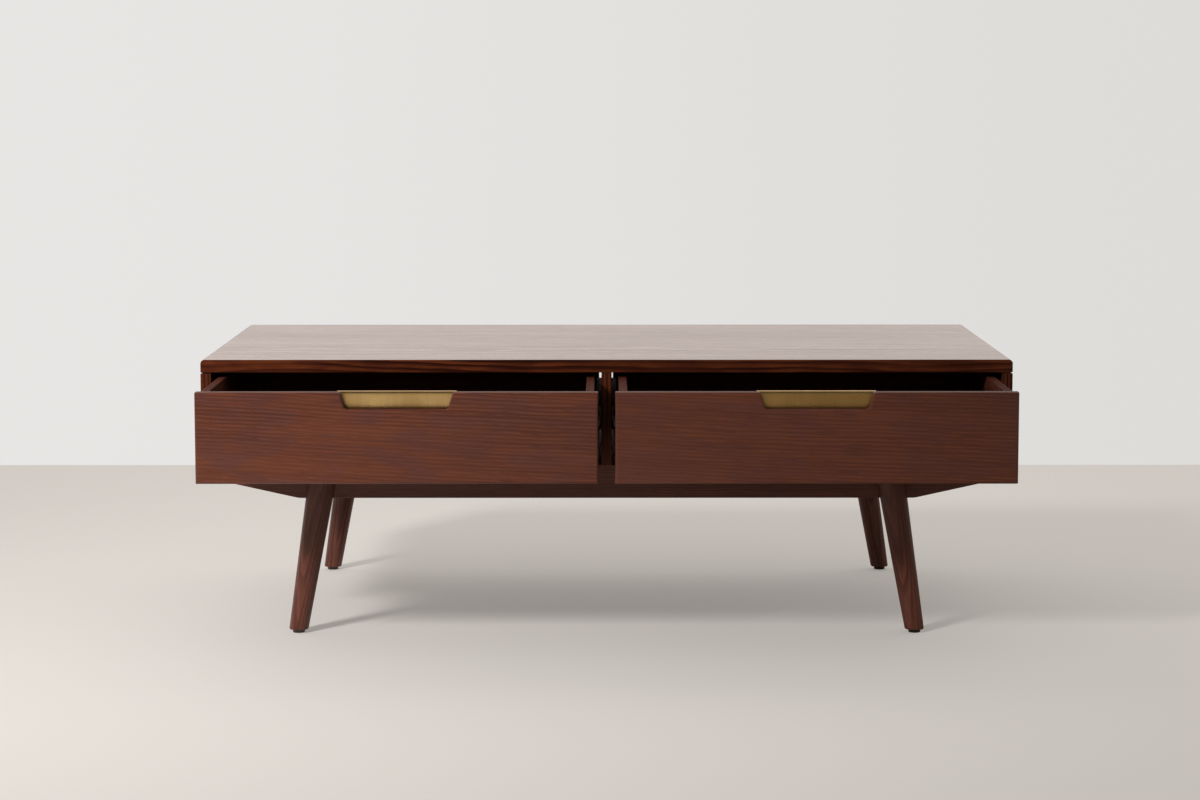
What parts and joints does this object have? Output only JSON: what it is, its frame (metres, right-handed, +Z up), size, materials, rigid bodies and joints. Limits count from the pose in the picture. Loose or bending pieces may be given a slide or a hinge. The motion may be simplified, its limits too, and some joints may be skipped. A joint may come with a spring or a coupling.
{
  "type": "coffee table with drawers",
  "caption": "Low rectangular wooden coffee table on splayed round legs, with side-by-side drawers on ball-bearing runners and brass pulls set in notches.",
  "frame": {"origin": "on the floor, under the middle of the whole outline with both drawers open as at rest", "axes": "+X to the right along the table's length, +Y to the back, +Z up"},
  "size_m": [1.2, 0.81, 0.412],
  "materials": {
    "top_wood": "satin stain, fine open grain",
    "carcass_wood": "satin stain, fine open grain",
    "drawer_front_wood": "satin stain, fine open grain",
    "drawer_box_wood": "satin stain, fine open grain",
    "base_wood": "satin stain, fine open grain",
    "dowel_wood": "plain turned beech",
    "brass": "brushed, satin lacquer",
    "runner_steel": "black plated",
    "fastener_steel": "zinc plated",
    "glide_plastic": "fine matt"
  },
  "bodies": {
    "carcass": {"left_drawer_left_cabinet_runner": "runner_steel", "left_drawer_right_cabinet_runner": "runner_steel", "right_drawer_left_cabinet_runner": "runner_steel", "right_drawer_right_cabinet_runner": "runner_steel", "top_panel": "top_wood", "centre_divider": "carcass_wood", "bottom_panel": "carcass_wood", "left_side_panel": "carcass_wood", "left_back_panel": "carcass_wood", "left_cross_rail": "base_wood", "right_side_panel": "carcass_wood", "right_back_panel": "carcass_wood", "right_cross_rail": "base_wood", "front_rail": "base_wood", "front_left_leg": "base_wood", "front_right_leg": "base_wood", "rear_rail": "base_wood", "rear_left_leg": "base_wood", "rear_right_leg": "base_wood", "foot_glides": "glide_plastic", "leg_bolts": "fastener_steel", "base_screws": "fastener_steel", "carcass_dowels": "dowel_wood", "cabinet_runner_screws": "runner_steel"},
    "left_drawer": {"left_drawer_front": "drawer_front_wood", "left_drawer_pull": "brass", "left_drawer_back": "drawer_box_wood", "left_drawer_bottom": "drawer_box_wood", "left_drawer_dowels": "dowel_wood", "left_drawer_pull_screws": "brass", "left_drawer_left_side": "drawer_box_wood", "left_drawer_left_drawer_runner": "runner_steel", "left_drawer_right_side": "drawer_box_wood", "left_drawer_right_drawer_runner": "runner_steel", "left_drawer_runner_screws": "runner_steel"},
    "right_drawer": {"right_drawer_front": "drawer_front_wood", "right_drawer_pull": "brass", "right_drawer_back": "drawer_box_wood", "right_drawer_bottom": "drawer_box_wood", "right_drawer_dowels": "dowel_wood", "right_drawer_pull_screws": "brass", "right_drawer_left_side": "drawer_box_wood", "right_drawer_left_drawer_runner": "runner_steel", "right_drawer_right_side": "drawer_box_wood", "right_drawer_right_drawer_runner": "runner_steel", "right_drawer_runner_screws": "runner_steel"},
    "left_ball_cages": {"left_drawer_ball_cages": "runner_steel", "left_drawer_balls": "runner_steel"},
    "right_ball_cages": {"right_drawer_ball_cages": "runner_steel", "right_drawer_balls": "runner_steel"}
  },
  "joints": [
    {"name": "left_drawer_slide", "type": "slide", "parent": "carcass", "child": "left_drawer", "axis": [0, -1, 0], "range_m": [-0.21, 0.09]},
    {"name": "left_cage_slide", "type": "slide", "parent": "carcass", "child": "left_ball_cages", "axis": [0, -1, 0], "range_m": [-0.105, 0.045]},
    {"name": "right_drawer_slide", "type": "slide", "parent": "carcass", "child": "right_drawer", "axis": [0, -1, 0], "range_m": [-0.21, 0.09]},
    {"name": "right_cage_slide", "type": "slide", "parent": "carcass", "child": "right_ball_cages", "axis": [0, -1, 0], "range_m": [-0.105, 0.045]}
  ],
  "couplings": [
    {"joint": "left_cage_slide", "follows": "left_drawer_slide", "ratio": 0.5},
    {"joint": "right_cage_slide", "follows": "right_drawer_slide", "ratio": 0.5}
  ]
}
